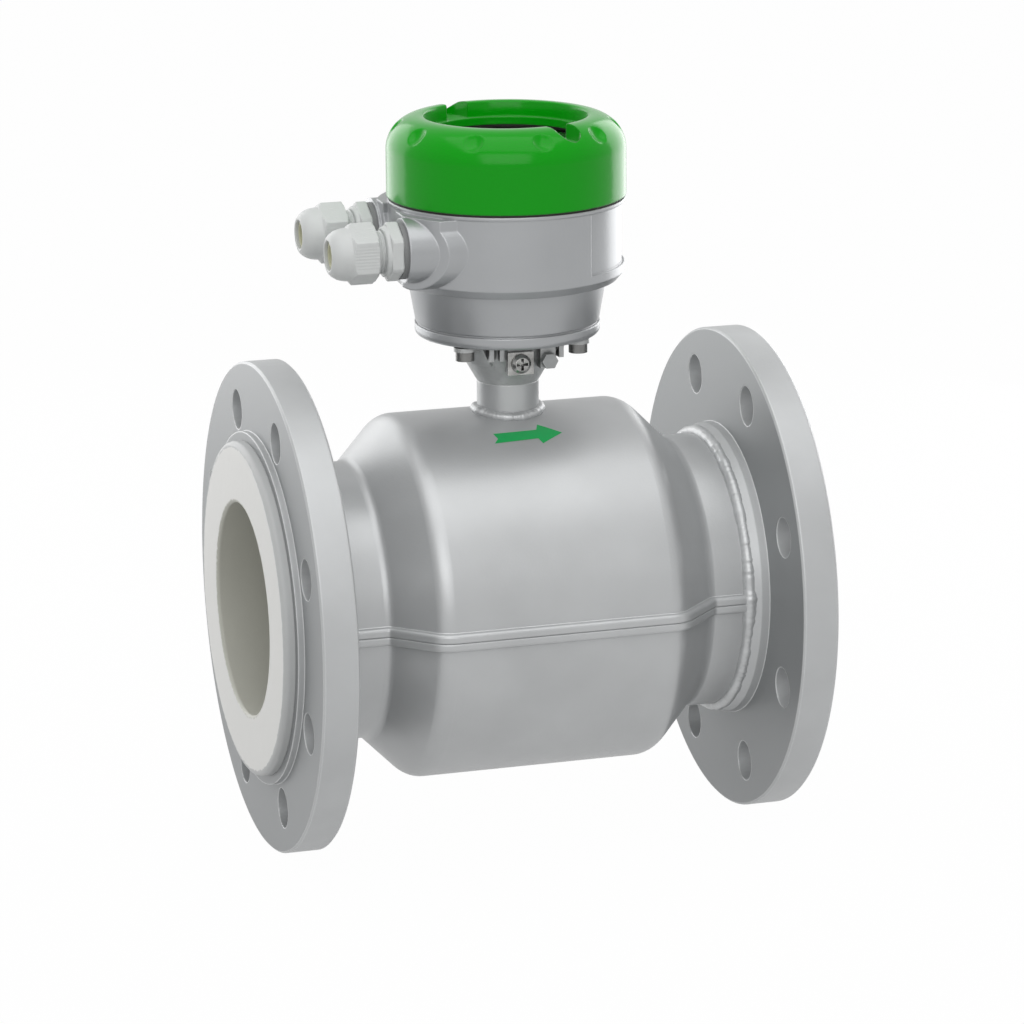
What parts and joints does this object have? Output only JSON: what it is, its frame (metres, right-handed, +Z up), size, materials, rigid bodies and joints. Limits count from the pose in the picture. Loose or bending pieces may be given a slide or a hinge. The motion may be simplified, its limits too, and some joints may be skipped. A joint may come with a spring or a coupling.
{
  "type": "electromagnetic flow meter",
  "caption": "Flanged in-line electromagnetic flow sensor with a lined bore, split grey body, neck, and a round converter head with a green screw-on window cover and side cable glands.",
  "frame": {"origin": "on the pipe axis, half way between the two sealing faces", "axes": "+X along the pipe in the flow direction, +Z up through the neck to the converter, -Y to the front"},
  "size_m": [0.25, 0.22, 0.3258],
  "materials": {
    "grey_paint": "satin paint on steel and die-cast metal",
    "green_paint": "gloss paint",
    "cast_grey": "bare die casting",
    "stainless": "plain stainless steel",
    "core_steel": "soft magnetic steel",
    "copper": "enamelled copper winding",
    "brass": "plain",
    "liner": "ivory fluoroplastic lining, satin",
    "light_plastic": "light grey moulded plastic",
    "bush_plastic": "insulating plastic",
    "dark_plastic": "black moulded plastic",
    "block_plastic": "green terminal plastic",
    "key_plastic": "grey key caps",
    "board_green": "coated circuit board",
    "screen": "dark display",
    "black_rubber": "dark elastomer seal",
    "insert_rubber": "cream elastomer",
    "window_glass": "clear toughened glass"
  },
  "bodies": {
    "sensor": {"measuring_tube": "stainless", "inlet_flange": "grey_paint", "outlet_flange": "grey_paint", "liner": "liner", "upper_shell": "grey_paint", "lower_shell": "grey_paint", "upper_pole_shoe": "core_steel", "lower_pole_shoe": "core_steel", "upper_pole_core": "core_steel", "lower_pole_core": "core_steel", "upper_coil": "copper", "lower_coil": "copper", "magnet_yoke": "core_steel", "electrode_front": "stainless", "electrode_rear": "stainless", "electrode_bush_front": "bush_plastic", "electrode_bush_rear": "bush_plastic", "electrode_spring_front": "stainless", "electrode_spring_rear": "stainless", "electrode_nut_front": "stainless", "electrode_nut_rear": "stainless", "neck_tube": "grey_paint", "neck_adapter": "cast_grey", "neck_gasket": "black_rubber", "adapter_screws": "stainless", "ground_clamp": "stainless", "ground_screw": "stainless", "lock_bolt": "stainless", "converter_housing": "grey_paint", "power_module": "dark_plastic", "main_board": "board_green", "terminal_block_front": "block_plastic", "terminal_block_rear": "block_plastic", "display_spacers": "brass", "display_carrier": "dark_plastic", "display_board": "board_green", "display_screen": "screen", "display_bezel": "dark_plastic", "key_switches": "stainless", "gland_washer_front": "black_rubber", "gland_body_front": "light_plastic", "gland_washer_rear": "black_rubber", "gland_body_rear": "light_plastic"},
    "cover_seal_ring": {"cover_seal": "black_rubber"},
    "cover": {"cover": "green_paint", "window_glass": "window_glass", "window_seal": "black_rubber", "window_ring": "dark_plastic"},
    "gland_insert_front": {"gland_insert_front": "insert_rubber"},
    "gland_nut_front": {"gland_nut_front": "light_plastic"},
    "gland_insert_rear": {"gland_insert_rear": "insert_rubber"},
    "gland_nut_rear": {"gland_nut_rear": "light_plastic"},
    "key_1": {"key_1": "key_plastic"},
    "key_2": {"key_2": "key_plastic"},
    "key_3": {"key_3": "key_plastic"},
    "key_4": {"key_4": "key_plastic"}
  },
  "joints": [
    {"name": "cover_turn", "type": "hinge", "parent": "sensor", "child": "cover_seal_ring", "pos_m": [-0.0005, 0, 0.1792], "axis": [0, 0, 1], "range_deg": [0, 1800]},
    {"name": "cover_lift", "type": "slide", "parent": "cover_seal_ring", "child": "cover", "axis": [0, 0, 1], "range_m": [0, 0.0101]},
    {"name": "gland_turn_front", "type": "hinge", "parent": "sensor", "child": "gland_insert_front", "pos_m": [-0.056, -0.025, 0.1627], "axis": [-1, 0, 0], "range_deg": [-361, 2161.2]},
    {"name": "gland_draw_front", "type": "slide", "parent": "gland_insert_front", "child": "gland_nut_front", "axis": [-1, 0, 0], "range_m": [-0.0015, 0.009]},
    {"name": "gland_turn_rear", "type": "hinge", "parent": "sensor", "child": "gland_insert_rear", "pos_m": [-0.056, 0.025, 0.1627], "axis": [-1, 0, 0], "range_deg": [-361, 2161.2]},
    {"name": "gland_draw_rear", "type": "slide", "parent": "gland_insert_rear", "child": "gland_nut_rear", "axis": [-1, 0, 0], "range_m": [-0.0015, 0.009]},
    {"name": "key_press_1", "type": "slide", "parent": "sensor", "child": "key_1", "axis": [0, 0, 1], "range_m": [-0.0008, 0], "stiffness_N_per_m": 500, "springref_m": 0.0005},
    {"name": "key_press_2", "type": "slide", "parent": "sensor", "child": "key_2", "axis": [0, 0, 1], "range_m": [-0.0008, 0], "stiffness_N_per_m": 500, "springref_m": 0.0005},
    {"name": "key_press_3", "type": "slide", "parent": "sensor", "child": "key_3", "axis": [0, 0, 1], "range_m": [-0.0008, 0], "stiffness_N_per_m": 500, "springref_m": 0.0005},
    {"name": "key_press_4", "type": "slide", "parent": "sensor", "child": "key_4", "axis": [0, 0, 1], "range_m": [-0.0008, 0], "stiffness_N_per_m": 500, "springref_m": 0.0005}
  ],
  "couplings": [
    {"joint": "cover_lift", "follows": "cover_turn", "m_per_rad": 0.00031831},
    {"joint": "gland_turn_front", "follows": "gland_draw_front", "rad_per_m": 4188.8},
    {"joint": "gland_turn_rear", "follows": "gland_draw_rear", "rad_per_m": 4188.8}
  ]
}
